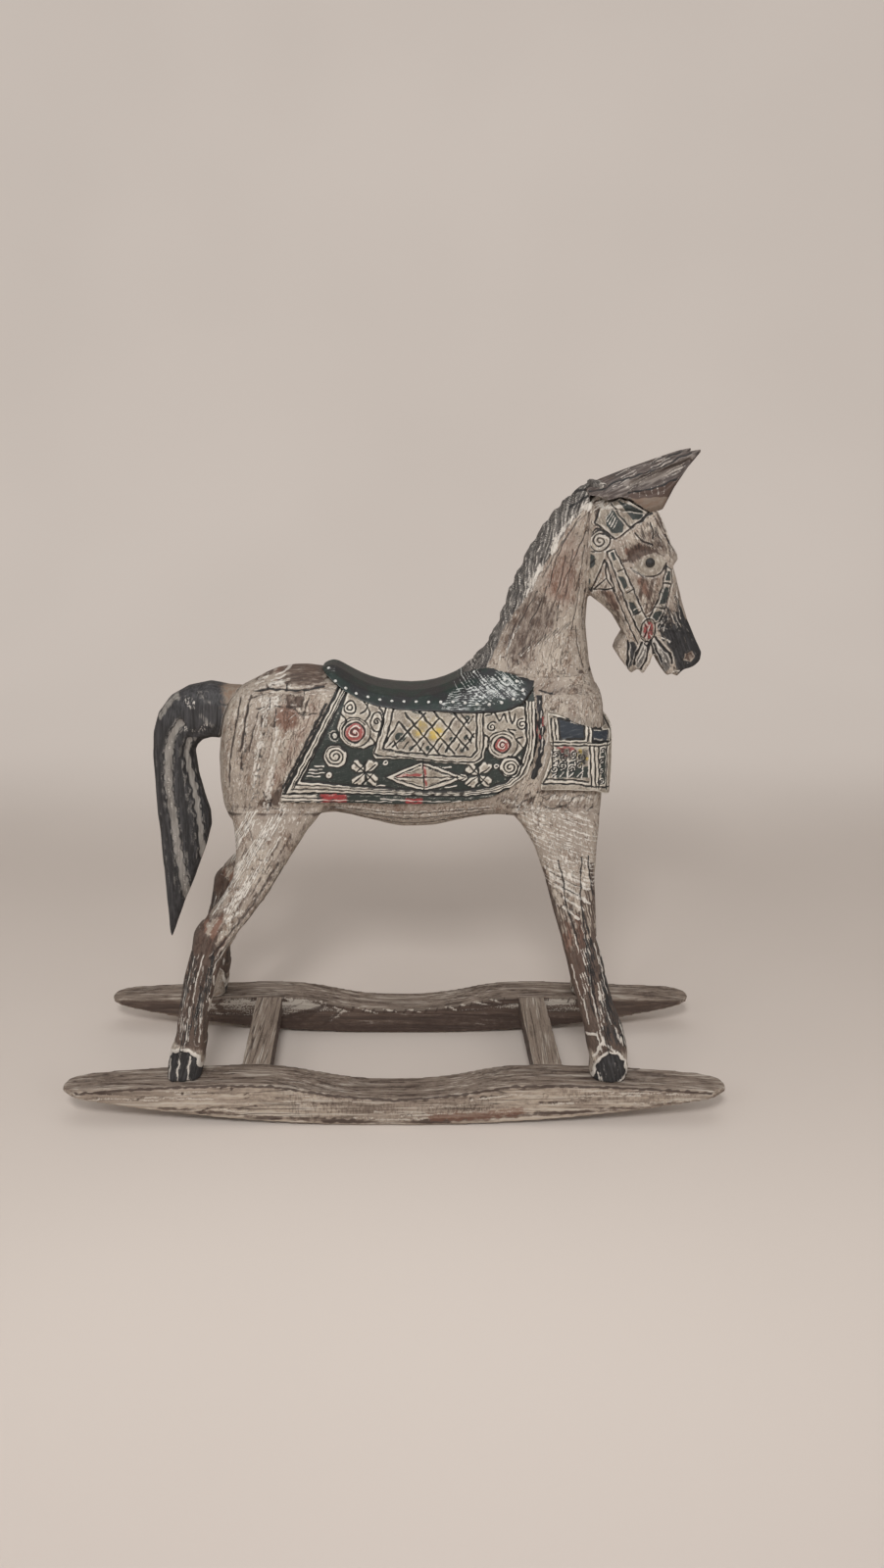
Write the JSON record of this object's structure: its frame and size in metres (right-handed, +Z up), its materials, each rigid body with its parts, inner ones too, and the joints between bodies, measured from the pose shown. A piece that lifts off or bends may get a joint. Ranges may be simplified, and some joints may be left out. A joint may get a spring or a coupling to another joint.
{
  "type": "rocking horse",
  "caption": "Carved wooden rocking horse with folk-painted saddle, saddle cloth, breastplate and bridle, standing on long bow rockers joined by crossbars.",
  "frame": {"origin": "on the floor, under the middle of the rockers, half way between them", "axes": "+X towards the horse's nose, along the rockers; +Y across to the horse's left side; +Z up"},
  "size_m": [0.6, 0.202, 0.5859],
  "materials": {
    "whitewashed_wood": "whitewash and grey paint rubbed through to brown wood, matt",
    "charcoal_wood": "charcoal paint rubbed at the edges, satin",
    "rocker_wood": "weathered grey-brown planks, matt",
    "saddle_paint": "green-black paint with white dry-brushed lines, satin",
    "tack_paint": "black ground with cream, yellow and red carved ornament, satin",
    "eye_bead": "polished black",
    "beech_dowel": "plain",
    "steel_screw": "dull"
  },
  "bodies": {
    "root": {"trunk": "whitewashed_wood", "rump_cap": "whitewashed_wood", "withers_cap": "whitewashed_wood", "neck": "whitewashed_wood", "head": "whitewashed_wood", "ear_left": "charcoal_wood", "ear_right": "charcoal_wood", "eyes": "eye_bead", "tail": "charcoal_wood", "leg_front_left": "whitewashed_wood", "leg_front_right": "whitewashed_wood", "leg_hind_left": "whitewashed_wood", "leg_hind_right": "whitewashed_wood", "rocker_left": "rocker_wood", "rocker_right": "rocker_wood", "crossbar_front": "rocker_wood", "crossbar_rear": "rocker_wood", "saddle": "saddle_paint", "saddle_cloth_left": "tack_paint", "saddle_cloth_right": "tack_paint", "breastplate": "tack_paint", "hip_dowels": "beech_dowel", "foot_dowels": "beech_dowel", "neck_dowels": "beech_dowel", "head_dowel": "beech_dowel", "tail_dowel": "beech_dowel", "crossbar_screws": "steel_screw"}
  },
  "joints": []
}
